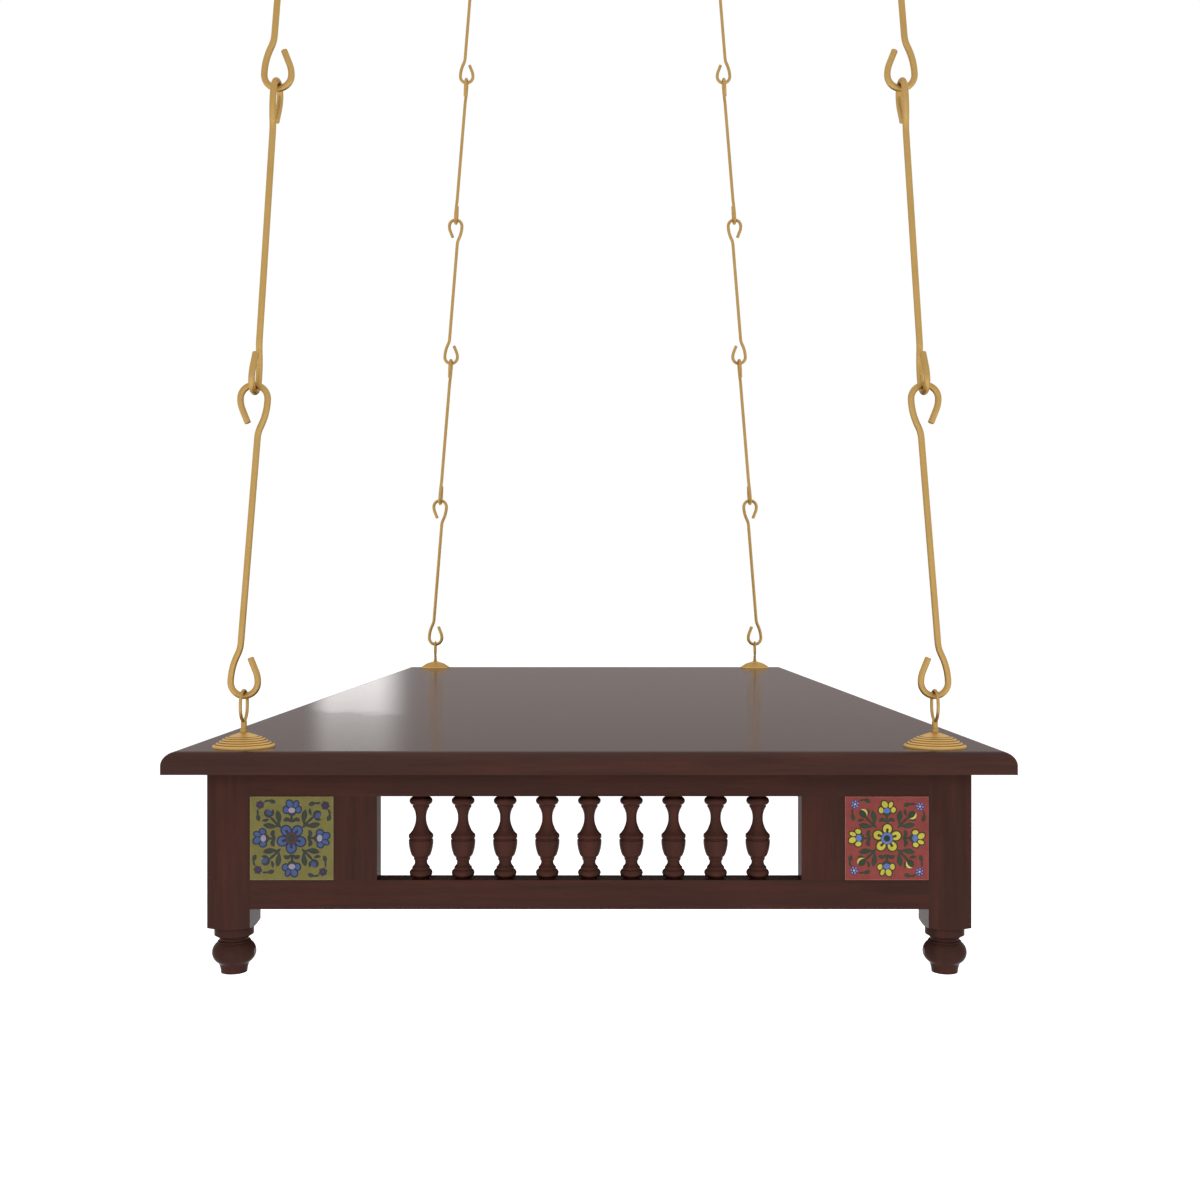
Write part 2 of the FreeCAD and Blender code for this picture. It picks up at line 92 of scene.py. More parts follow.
class Nodes:
    """A new material with its Principled shader, and short ways to add nodes."""

    def __init__(self, name, **values):
        self.material = bpy.data.materials.new(name)
        self.material.use_nodes = True
        self.tree = self.material.node_tree
        self.shader = self.tree.nodes["Principled BSDF"]
        for key, value in values.items():
            self.shader.inputs[key.replace("_", " ")].default_value = value

    def add(self, kind, **settings):
        node = self.tree.nodes.new(kind)
        for key, value in settings.items():
            setattr(node, key, value)
        return node

    def link(self, start, end):
        self.tree.links.new(start, end)

    def place(self, scale=(1, 1, 1)):
        """Object coordinates, stretched."""
        coords = self.add("ShaderNodeTexCoord")
        mapping = self.add("ShaderNodeMapping")
        mapping.inputs["Scale"].default_value = scale
        self.link(coords.outputs["Object"], mapping.inputs["Vector"])
        return mapping.outputs["Vector"]

    def noise(self, vector, scale, detail=3.0, distortion=0.0):
        node = self.add("ShaderNodeTexNoise")
        node.inputs["Scale"].default_value = scale
        node.inputs["Detail"].default_value = detail
        node.inputs["Distortion"].default_value = distortion
        self.link(vector, node.inputs["Vector"])
        return node.outputs["Fac"]

    def ramp(self, value, stops):
        """A colour ramp through (position, colour) stops."""
        node = self.add("ShaderNodeValToRGB")
        bands = node.color_ramp.elements
        while len(bands) < len(stops):
            bands.new(0.5)
        for band, (position, colour) in zip(bands, stops):
            band.position = position
            band.color = colour
        self.link(value, node.inputs["Fac"])
        return node.outputs["Color"]

    def mix(self, factor, first, second, blend="MIX"):
        node = self.add("ShaderNodeMix", data_type="RGBA", blend_type=blend)
        for socket, value in ((0, factor), (6, first), (7, second)):
            if isinstance(value, bpy.types.NodeSocket):
                self.link(value, node.inputs[socket])
            else:
                node.inputs[socket].default_value = value
        return node.outputs[2]

    def math(self, operation, first, second=0.0, third=0.0):
        node = self.add("ShaderNodeMath", operation=operation)
        for socket, value in ((0, first), (1, second), (2, third)):
            if isinstance(value, bpy.types.NodeSocket):
                self.link(value, node.inputs[socket])
            else:
                node.inputs[socket].default_value = value
        return node.outputs["Value"]

    def bump(self, height, distance, strength=1.0, layer="Normal"):
        """Bump of a height on the surface, or on the layer above it."""
        node = self.add("ShaderNodeBump")
        node.inputs["Distance"].default_value = distance
        node.inputs["Strength"].default_value = strength
        self.link(height, node.inputs["Height"])
        self.link(node.outputs["Normal"], self.shader.inputs[layer])

    def with_painted_shade(self, colour, reach, crevice_shade):
        """A colour with painted shade: multiplied by another one where a surface lies within reach in
        metres.
        """
        corners = self.add("ShaderNodeAmbientOcclusion", samples=6)
        corners.inputs["Distance"].default_value = reach
        shade = self.ramp(corners.outputs["AO"], [(0.35, crevice_shade), (0.95, WHITE)])
        return self.mix(1.0, colour, shade, "MULTIPLY")

    def edge_wear(self):
        """From 0 on faces square to an axis to 1 on the rounding between them."""
        geometry = self.add("ShaderNodeNewGeometry")
        absolute = self.add("ShaderNodeVectorMath", operation="ABSOLUTE")
        parts = self.add("ShaderNodeSeparateXYZ")
        self.link(geometry.outputs["Normal"], absolute.inputs[0])
        self.link(absolute.outputs["Vector"], parts.inputs["Vector"])
        side = self.math("MAXIMUM", parts.outputs["X"], parts.outputs["Y"])
        largest = self.math("MAXIMUM", side, parts.outputs["Z"])
        return self.math("MULTIPLY", self.math("SUBTRACT", 1.0, largest), 4.0)


# Materials

# Grain of the wood: noise scales per metre, across the grain
BANDS = 48.0
FIGURE = 95.0
STREAKS = 320.0
PORES = 1500.0
CLOUDS = 22.0

# Edge of the glassy strip on the plank's top: its X at mid length, its fade and its slant
POLISH_EDGE = -0.261
POLISH_FADE = 0.018
POLISH_SLANT = 0.139
GLASSY = 0.03
SATIN = 0.22

# Painted shade: what the colour is multiplied by in the deepest corners
WOOD_PAINTED_SHADE = (0.55, 0.50, 0.48, 1.0)
TURNED_PAINTED_SHADE = (0.22, 0.10, 0.06, 1.0)
BRASS_PAINTED_SHADE = (0.53, 0.47, 0.40, 1.0)


def wood(name, along, dark, light, red, specular=0.018, roughness=0.10, coat=0.0,
         crevice_shade=WOOD_PAINTED_SHADE, reach=0.004):
    """Lacquered mahogany whose grain runs along the named axis. The coat is the share of a
    polished layer with a slight ripple, and the painted shade in corners reaches in metres."""
    stretch = {"X": (0.06, 1, 1), "Y": (1, 0.06, 1), "Z": (1, 1, 0.06)}[along]
    m = Nodes(name, Specular_IOR_Level=specular)
    place = m.place(stretch)
    bands = m.noise(place, BANDS, 4.0, 0.8)
    figure = m.noise(place, FIGURE, 3.0)
    streaks = m.noise(place, STREAKS, 3.0)
    pores = m.noise(place, PORES, 2.0)
    clouds = m.noise(m.place(), CLOUDS, 2.0)
    base = m.ramp(bands, [(0.30, dark), (0.50, light), (0.72, dark)])
    flame = m.ramp(figure, [(0.45, BLACK), (0.66, WHITE)])
    base = m.mix(m.math("MULTIPLY", flame, m.math("MULTIPLY", clouds, 1.5)), base, red)
    tone = m.ramp(streaks, [(0.25, (0.88, 0.87, 0.87, 1)), (0.75, (1.07, 1.06, 1.06, 1))])
    base = m.mix(0.7, base, tone, "MULTIPLY")
    pits = m.ramp(pores, [(0.34, (0.80, 0.78, 0.78, 1)), (0.42, WHITE)])
    base = m.mix(0.5, base, pits, "MULTIPLY")
    # Painted shade in corners and grooves, where another surface lies within reach
    m.link(m.with_painted_shade(base, reach, crevice_shade), m.shader.inputs["Base Color"])
    rough = m.math("ADD", m.math("MULTIPLY", streaks, 0.05), roughness)
    m.link(rough, m.shader.inputs["Roughness"])
    grain = m.math("ADD", m.math("MULTIPLY", pores, 0.5), streaks)
    m.bump(grain, 0.00001, 0.5)
    if coat:
        m.shader.inputs["Coat Weight"].default_value = coat
        m.link(polish(m), m.shader.inputs["Coat Roughness"])
        m.shader.inputs["Coat IOR"].default_value = 1.2
        m.bump(clouds, 0.00005, layer="Coat Normal")
    return m.material


def polish(m):
    """Roughness of the plank's coat: glassy down a strip on the left, satin elsewhere."""
    parts = m.add("ShaderNodeSeparateXYZ")
    m.link(m.place(), parts.inputs["Vector"])
    blend = m.add("ShaderNodeMapRange", interpolation_type="SMOOTHSTEP")
    blend.inputs["From Min"].default_value = POLISH_EDGE - POLISH_FADE
    blend.inputs["From Max"].default_value = POLISH_EDGE + POLISH_FADE
    blend.inputs["To Min"].default_value = GLASSY
    blend.inputs["To Max"].default_value = SATIN
    across = m.math("MULTIPLY_ADD", parts.outputs["Y"], POLISH_SLANT, parts.outputs["X"])
    m.link(across, blend.inputs["Value"])
    return blend.outputs["Result"]


def brass(name, dark, light):
    """Satin brass, cloudy between two tones, with painted shade where another surface lies close."""
    m = Nodes(name, Metallic=1.0)
    place = m.place()
    clouds = m.noise(place, 28.0, 3.0)
    specks = m.noise(place, 900.0, 2.0)
    base = m.ramp(clouds, [(0.3, light), (0.7, dark)])
    dull = m.ramp(specks, [(0.35, (0.96, 0.95, 0.94, 1)), (0.6, WHITE)])
    base = m.mix(0.4, base, dull, "MULTIPLY")
    # Painted shade where another surface lies within 2.5 mm
    m.link(m.with_painted_shade(base, 0.0025, BRASS_PAINTED_SHADE), m.shader.inputs["Base Color"])
    rough = m.math("ADD", m.math("MULTIPLY", clouds, 0.10), 0.46)
    m.link(rough, m.shader.inputs["Roughness"])
    m.bump(specks, 0.000004, 0.2)
    return m.material


def steel(name):
    """Zinc plated steel."""
    m = Nodes(name, Metallic=1.0)
    grain = m.noise(m.place(), 600.0, 2.0)
    m.link(m.ramp(grain, [(0.3, srgb(150, 150, 154)), (0.7, srgb(186, 186, 190))]),
           m.shader.inputs["Base Color"])
    m.link(m.math("ADD", m.math("MULTIPLY", grain, 0.2), 0.3), m.shader.inputs["Roughness"])
    return m.material


def glaze(name, colour, edge, body=0.0):
    """Hand painted glaze, uneven in tone, thin and pale on rounded edges."""
    m = Nodes(name, Specular_IOR_Level=0.08)
    place = m.place()
    wash = m.noise(place, 90.0, 4.0, 0.4)
    fine = m.noise(place, 700.0, 3.0)
    tone = m.ramp(wash, [(0.3, (0.62, 0.62, 0.62, 1)), (0.7, (0.80, 0.80, 0.80, 1))])
    base = m.mix(1.0, colour, tone, "MULTIPLY")
    base = m.mix(m.math("MULTIPLY", fine, 0.12), base, edge)
    wear = m.math("MINIMUM", m.math("MULTIPLY", m.edge_wear(), m.math("ADD", wash, 0.25)), 1.0)
    base = m.mix(m.math("MULTIPLY", wear, body), base, edge)
    m.link(base, m.shader.inputs["Base Color"])
    m.link(m.math("ADD", m.math("MULTIPLY", wash, 0.2), 0.22), m.shader.inputs["Roughness"])
    m.bump(wash, 0.0002, 0.25)
    return m.material


DARK = srgb(57, 38, 34)
LIGHT = srgb(64, 42, 37)
RED = srgb(73, 44, 38)
MATERIALS = {
    "wood_top": wood("mahogany_top", "X", DARK, LIGHT, RED, 0.02, 0.13, 0.36),
    "wood_x": wood("mahogany_across", "X", DARK, LIGHT, RED),
    "wood_y": wood("mahogany_along", "Y", DARK, LIGHT, RED),
    "wood_z": wood("mahogany_upright", "Z", DARK, LIGHT, RED),
    # Turned balusters: a little lighter wood, with deep reddish painted shade in grooves and necks
    "turned_wood": wood("turned_mahogany", "Z", srgb(62, 40, 34), srgb(70, 44, 38),
                        srgb(78, 46, 39), crevice_shade=TURNED_PAINTED_SHADE, reach=0.010),
    "frame_wood": wood("stained_wood", "X", srgb(66, 42, 34), srgb(88, 58, 46),
                       srgb(92, 56, 44), 0.15, 0.5),
    "brass": brass("satin_brass", srgb(187, 152, 90), srgb(193, 159, 98)),
    "turned_brass": brass("turned_brass", srgb(210, 170, 102), srgb(216, 178, 110)),
    # Darker brass for the rosettes' groove faces: painted shade
    "brass_groove_shade": brass("groove_shaded_brass", srgb(136, 102, 54), srgb(156, 120, 68)),
    "steel": steel("zinc_plate"),
    "tile_olive": glaze("olive_glaze", srgb(122, 116, 63), srgb(172, 160, 118), 0.9),
    "tile_red": glaze("red_glaze", srgb(147, 63, 60), srgb(196, 144, 134), 0.9),
}


def material_of(node):
    """The material that dresses a node, with wood grain along the piece."""
    slot = SLOTS[node]
    if slot != "lacquered_wood":
        return MATERIALS[slot]
    if node == "seat_plank":
        return MATERIALS["wood_top"]
    if node.endswith("balusters"):
        return MATERIALS["turned_wood"]
    if node.endswith("rail"):
        return MATERIALS["wood_x" if node.startswith(("front", "back")) else "wood_y"]
    return MATERIALS["wood_z"]


def dress_nodes():
    """Give each node of the part its finished material."""
    for node in NODES:
        slots = bpy.data.objects[node].material_slots
        for slot in slots:
            slot.material = material_of(node)


# Painted flowers of the tiles. Places and sizes are shares of a tile's side, right and
# up from its middle. Each shape is a list of (edge point, core point) pairs: the glaze
# rises from the edge to the core.

OLIVE_PAINTS = {
    "leaf": glaze("olive_tile_leaf", srgb(65, 71, 59), srgb(82, 86, 62)),
    "outline": glaze("olive_tile_outline", srgb(57, 58, 78), srgb(72, 74, 90)),
    "petal": glaze("olive_tile_petal", srgb(77, 96, 142), srgb(98, 120, 156)),
    "ring": glaze("olive_tile_ring", srgb(90, 64, 60), srgb(104, 78, 68)),
    "disc": glaze("olive_tile_disc", srgb(162, 153, 170), srgb(182, 175, 186)),
    "heart": glaze("olive_tile_heart", srgb(58, 70, 54), srgb(76, 88, 62)),
    "bud": glaze("olive_tile_bud", srgb(74, 86, 134), srgb(96, 110, 150)),
    "corner_edge": glaze("olive_tile_corner_edge", srgb(60, 54, 66), srgb(72, 66, 74)),
    "corner": glaze("olive_tile_corner", srgb(86, 68, 84), srgb(98, 84, 92)),
    "corner_heart": glaze("olive_tile_corner_heart", srgb(72, 78, 124), srgb(96, 100, 140)),
}
RED_PAINTS = {
    "leaf": glaze("red_tile_leaf", srgb(62, 75, 64), srgb(86, 86, 72)),
    "outline": glaze("red_tile_outline", srgb(72, 66, 44), srgb(96, 84, 58)),
    "petal": glaze("red_tile_petal", srgb(209, 197, 78), srgb(220, 208, 114)),
    "ring": glaze("red_tile_ring", srgb(106, 127, 198), srgb(128, 148, 206)),
    "disc": glaze("red_tile_disc", srgb(102, 124, 196), srgb(126, 146, 204)),
    "heart": glaze("red_tile_heart", srgb(44, 60, 62), srgb(62, 78, 70)),
    "bud": glaze("red_tile_bud", srgb(222, 208, 106), srgb(228, 216, 140)),
    "corner_edge": glaze("red_tile_corner_edge", srgb(70, 64, 118), srgb(88, 80, 128)),
    "corner": glaze("red_tile_corner", srgb(136, 150, 218), srgb(156, 168, 224)),
    "corner_heart": glaze("red_tile_corner_heart", srgb(222, 206, 160), srgb(230, 216, 180)),
}
PAINT_ORDER = list(OLIVE_PAINTS)
OLIVE_PETAL_START = -90
RED_PETAL_START = 90

# How far each layer of glaze stands off the tile, in metres
GLAZE_HEIGHTS = {
    "under": 0.10 * MM,
    "leaf": 0.13 * MM,
    "petal": 0.20 * MM,
    "top": 0.27 * MM,
    "high": 0.31 * MM,
    "higher": 0.35 * MM,
    "highest": 0.39 * MM,
}
GLAZE_RISE = [(0.0, 0.0), (0.10, 0.75), (0.35, 0.95), (1.0, 1.0)]
OUTLINE_SHARE = 0.014
LEAF_EDGE = 0.008

# Petals of a side flower: place, half-axes and turn in degrees
SIDE_PETALS = [
    (0.408, 0.024, 0.046, 0.036, 30), (0.404, -0.048, 0.041, 0.025, -20),
    (0.338, 0.068, 0.038, 0.030, 10), (0.342, -0.079, 0.036, 0.030, -22),
]


def oval(centre, along, across, turn=0.0, points=22):
    """An ellipse that rises to its centre. Its first half-axis points at the turn, in degrees."""
    turn = math.radians(turn)
    shape = []
    for i in range(points):
        angle = 2 * math.pi * i / points
        x, y = along * math.cos(angle), across * math.sin(angle)
        edge = (centre[0] + x * math.cos(turn) - y * math.sin(turn),
                centre[1] + x * math.sin(turn) + y * math.cos(turn))
        shape.append((edge, centre))
    return shape


def leaf(start, bend, end, half_width, fullest=0.6, points=11):
    """A leaf or stem along a curve from start to end, pulled towards bend, widest at a
    share of its length, that rises to its midrib."""
    left, right = [], []
    power = math.log(0.5) / math.log(fullest)
    for i in range(points + 1):
        s = i / points
        x = (1 - s) ** 2 * start[0] + 2 * s * (1 - s) * bend[0] + s ** 2 * end[0]
        y = (1 - s) ** 2 * start[1] + 2 * s * (1 - s) * bend[1] + s ** 2 * end[1]
        dx = (1 - s) * (bend[0] - start[0]) + s * (end[0] - bend[0])
        dy = (1 - s) * (bend[1] - start[1]) + s * (end[1] - bend[1])
        size = math.hypot(dx, dy)
        half = half_width * math.sin(math.pi * s ** power) ** 0.8 if 0 < i < points else 0.0
        left.append(((x - dy / size * half, y + dx / size * half), (x, y)))
        right.append(((x + dy / size * half, y - dx / size * half), (x, y)))
    return right + left[-2:0:-1]


def around(place, turn):
    """A point turned about the middle of the tile, by degrees."""
    turn = math.radians(turn)
    return (place[0] * math.cos(turn) - place[1] * math.sin(turn),
            place[0] * math.sin(turn) + place[1] * math.cos(turn))


def outlined(parts, place, along, across, turn, paint, layer="petal"):
    """An oval on a slightly larger dark one."""
    parts.append(("under", "outline",
                  oval(place, along + OUTLINE_SHARE, across + OUTLINE_SHARE, turn)))
    parts.append((layer, paint, oval(place, along, across, turn)))


def edged(parts, start, bend, end, half_width, fullest=0.6):
    """A leaf or stem on a slightly wider dark one."""
    parts.append(("under", "outline", leaf(start, bend, end, half_width + LEAF_EDGE, fullest)))
    parts.append(("leaf", "leaf", leaf(start, bend, end, half_width, fullest)))


def middle_flower(start):
    """Five keyhole petals round a ringed heart."""
    parts = []
    for i in range(5):
        turn = start + 72 * i
        outlined(parts, around((0.113, 0), turn), 0.059, 0.055, turn, "petal")
        parts.append(("top", "outline", oval(around((0.086, 0), turn), 0.034, 0.016, turn)))
        parts.append(("top", "outline", oval(around((0.104, 0), turn), 0.019, 0.019, turn)))
    parts.append(("top", "outline", oval((0, 0), 0.083, 0.083)))
    parts.append(("high", "ring", oval((0, 0), 0.078, 0.078)))
    parts.append(("higher", "outline", oval((0, 0), 0.052, 0.052)))
    parts.append(("highest", "heart", oval((0, 0), 0.038, 0.038)))
    return parts


def side_flower():
    """A half-open flower with its stem and two curled leaves, on the +X side."""
    parts = []
    for x, y, along, across, turn in SIDE_PETALS:
        outlined(parts, (x, y), along, across, turn, "petal")
    edged(parts, (0.322, -0.060), (0.258, 0.0), (0.322, 0.060), 0.017, 0.5)
    parts.append(("petal", "outline", oval((0.333, 0.0), 0.044, 0.052)))
    parts.append(("top", "disc", oval((0.334, 0.0), 0.036, 0.045)))
    edged(parts, (0.200, 0.0), (0.25, 0.004), (0.300, 0.0), 0.007, 0.5)
    edged(parts, (0.216, -0.058), (0.192, 0.0), (0.216, 0.058), 0.006, 0.5)
    for side in (-1, 1):
        edged(parts, (0.208, 0.0), (0.248, side * 0.048), (0.202, side * 0.098), 0.017, 0.64)
    return parts


def spray(crescent):
    """A sprig with two leaves and a bud, from the middle flower to the upper left. The
    bud shows its petal whole or as a crescent."""
    parts = []
    edged(parts, (-0.122, 0.126), (-0.160, 0.168), (-0.215, 0.215), 0.012, 0.5)
    edged(parts, (-0.175, 0.175), (-0.220, 0.225), (-0.265, 0.275), 0.008, 0.5)
    for swap in (False, True):
        def flip(x, y):
            return (-y, -x) if swap else (x, y)

        edged(parts, flip(-0.148, 0.150), flip(-0.142, 0.24), flip(-0.170, 0.342), 0.026, 0.64)
        edged(parts, flip(-0.246, 0.268), flip(-0.215, 0.292), flip(-0.222, 0.358), 0.010)
    parts.append(("under", "outline", oval((-0.280, 0.304), 0.054, 0.047, 135)))
    parts.append(("leaf", "leaf", oval((-0.280, 0.304), 0.044, 0.036, 135)))
    if crescent:
        petal = leaf((-0.312, 0.352), (-0.228, 0.356), (-0.238, 0.272), 0.014, 0.5)
    else:
        petal = oval((-0.268, 0.316), 0.040, 0.027, 130)
    parts.append(("petal", "bud", petal))
    return parts


def corner_flower():
    """A small six-petalled flower and two leaves in the upper left corner."""
    place = (-0.384, 0.402)
    parts = [("under", "corner_edge", oval(place, 0.044, 0.044))]
    for i in range(6):
        x, y = around((0.034, 0), 60 * i + 20)
        petal = (place[0] + x, place[1] + y)
        parts.append(("leaf", "corner_edge", oval(petal, 0.020, 0.0175, 60 * i + 20, 12)))
        parts.append(("petal", "corner", oval(petal, 0.0135, 0.0115, 60 * i + 20, 12)))
    parts.append(("petal", "corner_heart", oval(place, 0.014, 0.014, 0, 12)))
    edged(parts, (-0.345, 0.430), (-0.305, 0.462), (-0.255, 0.452), 0.005, 0.5)
    edged(parts, (-0.298, 0.452), (-0.240, 0.456), (-0.200, 0.424), 0.018, 0.6)
    edged(parts, (-0.412, 0.352), (-0.418, 0.310), (-0.407, 0.270), 0.005, 0.5)
    edged(parts, (-0.412, 0.305), (-0.414, 0.250), (-0.390, 0.203), 0.018, 0.6)
    return parts


def paint_parts(petal_start, crescent, chance):
    """All the painted shapes of one tile, each group a little off true, as by hand."""
    groups = [middle_flower(petal_start + chance.uniform(-3, 3))]
    for quarter in range(4):
        for group in (side_flower(), spray(crescent), corner_flower()):
            turn = 90 * quarter + chance.uniform(-1.0, 1.0)
            size = chance.uniform(0.985, 1.015)

            def moved(point):
                x, y = around(point, turn)
                return (x * size, y * size)

            groups.append([
                (layer, paint, [(moved(edge), moved(core)) for edge, core in shape])
                for layer, paint, shape in group
            ])
    return [part for group in groups for part in group]


def raise_glaze(mesh, shape, height, place, colour):
    """Add one domed shape to a mesh, from its edge on the tile to its core."""
    rings = []
    for inward, rise in GLAZE_RISE:
        ring = []
        for (x0, y0), (x1, y1) in shape:
            x, y = x0 + inward * (x1 - x0), y0 + inward * (y1 - y0)
            ring.append(mesh.verts.new(place(x, y, rise * height)))
        rings.append(ring)
    for low, high in zip(rings, rings[1:]):
        for i in range(len(low)):
            j = (i + 1) % len(low)
            face = mesh.faces.new((low[i], low[j], high[j], high[i]))
            face.material_index = colour
            face.smooth = True


def tile_facing(node):
    """Outward, right and up directions of a tile's painted face."""
    outward = {"front": (0, -1, 0), "back": (0, 1, 0), "left": (-1, 0, 0), "right": (1, 0, 0)}
    outward = Vector(outward[node.split("_")[0]])
    up = Vector((0, 0, 1))
    return outward, up.cross(outward), up


def paint_tile(node):
    """The raised glaze of one tile, as one mesh with a material for each colour."""
    slot = SLOTS[node]
    olive = slot == "tile_olive"
    paints = OLIVE_PAINTS if olive else RED_PAINTS
    start = OLIVE_PETAL_START if olive else RED_PETAL_START
    low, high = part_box(node)
    outward, right, up = tile_facing(node)
    middle = (low + high) / 2
    face = middle + outward * abs((high - low).dot(outward)) / 2
    side = high.z - low.z

    def place(x, y, height):
        return face + right * (x * side) + up * (y * side) + outward * height

    mesh = bmesh.new()
    chance = random.Random(NODES.index(node))
    for layer, paint, shape in paint_parts(start, not olive, chance):
        raise_glaze(mesh, shape, GLAZE_HEIGHTS[layer], place, PAINT_ORDER.index(paint))
    bmesh.ops.remove_doubles(mesh, verts=mesh.verts, dist=0.002 * MM)
    data = bpy.data.meshes.new(node + "_flowers")
    mesh.to_mesh(data)
    mesh.free()
    flowers = bpy.data.objects.new(node + "_flowers", data)
    bpy.context.collection.objects.link(flowers)
    for paint in PAINT_ORDER:
        data.materials.append(paints[paint])
    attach(flowers, "seat")


# Rosettes, with the grooves cut crisper than the solids have them, and darker brass on the
# groove faces as painted shade. Outline from the bore out and up, in shares of height and
# radius, and whether the stretch from the point before is a groove.

ROSETTE_OUTLINE = [
    (0.000, 0.105, False), (0.000, 1.000, False), (0.060, 1.000, False),
    (0.130, 0.990, False), (0.215, 0.930, False),
    (0.200, 0.900, True), (0.270, 0.883, True),
    (0.312, 0.862, False), (0.345, 0.830, False),
    (0.328, 0.803, True), (0.400, 0.787, True),
    (0.444, 0.768, False), (0.480, 0.737, False),
    (0.464, 0.710, True), (0.535, 0.695, True),
    (0.577, 0.674, False), (0.612, 0.640, False),
    (0.596, 0.613, True), (0.660, 0.590, True),
    (0.693, 0.565, False), (0.718, 0.530, False),
    (0.706, 0.503, True), (0.748, 0.475, True),
    (0.815, 0.392, False), (0.878, 0.305, False), (0.940, 0.215, False),
    (1.000, 0.125, False), (1.000, 0.105, False),
]
ROSETTE_POINTS = 96


def turn_rosette(mesh, foot, height, radius):
    """Add one rosette that stands on a foot point and rises by a height, down if negative."""
    rows = []
    for rise, out, groove in ROSETTE_OUTLINE:
        rows.append([mesh.verts.new((
            foot.x + out * radius * math.cos(2 * math.pi * i / ROSETTE_POINTS),
            foot.y + out * radius * math.sin(2 * math.pi * i / ROSETTE_POINTS),
            foot.z + rise * height,
        )) for i in range(ROSETTE_POINTS)])
    for row, (rise, out, groove) in enumerate(ROSETTE_OUTLINE):
        low, high = rows[row - 1], rows[row]
        for i in range(ROSETTE_POINTS):
            j = (i + 1) % ROSETTE_POINTS
            ring = (low[i], low[j], high[j], high[i])
            face = mesh.faces.new(ring if height > 0 else ring[::-1])
            # Groove faces take the darker brass, painted shade
            face.material_index = int(groove)
            face.smooth = True


def sharpen(data, degrees):
    """Crisp shading on edges that turn by more than an angle."""
    mesh = bmesh.new()
    mesh.from_mesh(data)
    for edge in mesh.edges:
        edge.smooth = len(edge.link_faces) == 2 and edge.calc_face_angle() < math.radians(degrees)
    mesh.to_mesh(data)
    mesh.free()


def make_rosettes(node, body, upright):
    """The four rosettes of a node, as one mesh."""
    low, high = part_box(node)
    solid = bpy.data.objects[node].data
    foot_z, height = (low.z, high.z - low.z) if upright else (high.z, low.z - high.z)
    mesh = bmesh.new()
    for right in (False, True):
        for back in (False, True):
            corner = [v.co for v in solid.vertices if (v.co.x > 0) == right and (v.co.y > 0) == back]
            xs, ys = [c.x for c in corner], [c.y for c in corner]
            foot = Vector(((min(xs) + max(xs)) / 2, (min(ys) + max(ys)) / 2, foot_z))
            turn_rosette(mesh, foot, height, (max(xs) - min(xs)) / 2)
    data = bpy.data.meshes.new(node + "_ridged")
    mesh.to_mesh(data)
    mesh.free()
    sharpen(data, 25)
    rosettes = bpy.data.objects.new(node + "_ridged", data)
    bpy.context.collection.objects.link(rosettes)
    # The second material, a darker brass, is painted shade in the grooves
    data.materials.append(MATERIALS["turned_brass"])
    data.materials.append(MATERIALS["brass_groove_shade"])
    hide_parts(node)
    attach(rosettes, body)


# Screw thread of the ceiling studs

THREAD_PITCH = 1.0 * MM
THREAD_RISE = 0.16 * MM
THREAD_POINTS = 28


def wind_thread(stud, low_z, high_z, radius):
    """A V-shaped ridge wound round an upright stud."""
    turns = (high_z - low_z) / THREAD_PITCH - 1
    profile = [(-0.42, -0.02 * MM), (0.0, THREAD_RISE), (0.42, -0.02 * MM)]
    mesh = bmesh.new()
    rows = []
    for step in range(int(turns * THREAD_POINTS) + 1):
        angle = 2 * math.pi * step / THREAD_POINTS
        fade = min(1.0, step / THREAD_POINTS, turns - step / THREAD_POINTS)
        rows.append([mesh.verts.new((
            stud.x + (radius + out * max(fade, 0.05)) * math.cos(angle),
            stud.y + (radius + out * max(fade, 0.05)) * math.sin(angle),
            low_z + THREAD_PITCH * (0.5 + step / THREAD_POINTS + along),
        )) for along, out in profile])
    for first, second in zip(rows, rows[1:]):
        for a, b in ((0, 1), (1, 2)):
            mesh.faces.new((first[a], second[a], second[b], first[b]))
    data = bpy.data.meshes.new("stud_thread")
    mesh.to_mesh(data)
    mesh.free()
    data.materials.append(MATERIALS["brass"])
    thread = bpy.data.objects.new("stud_thread", data)
    bpy.context.collection.objects.link(thread)
    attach(thread, "ceiling_fittings")


def wind_ceiling_threads():
    """A thread on each stud, from just above the rosettes to just short of the tip."""
    mounts = {entry["name"]: entry for entry in frame["record"]["mounts"]}
    dims = mounts["ceiling_studs"]["dims"]
    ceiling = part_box("ceiling_rosettes")[1].z
    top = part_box("ceiling_eye_bolts")[1].z
    for side in (-1, 1):
        for end in (-1, 1):
            stud = Vector((side * dims["spacing_x_mm"] / 2 * MM, end * dims["spacing_y_mm"] / 2 * MM))
            wind_thread(stud, ceiling + 1.5 * MM, top - 1.0 * MM, dims["stud_r_mm"] * MM)


# Stage, lights and camera

FLOOR_DROP = 0.95
FLOOR_HALF = 40.0
FLOOR_LIFT = 0.66
WORLD_LIGHT = 0.5

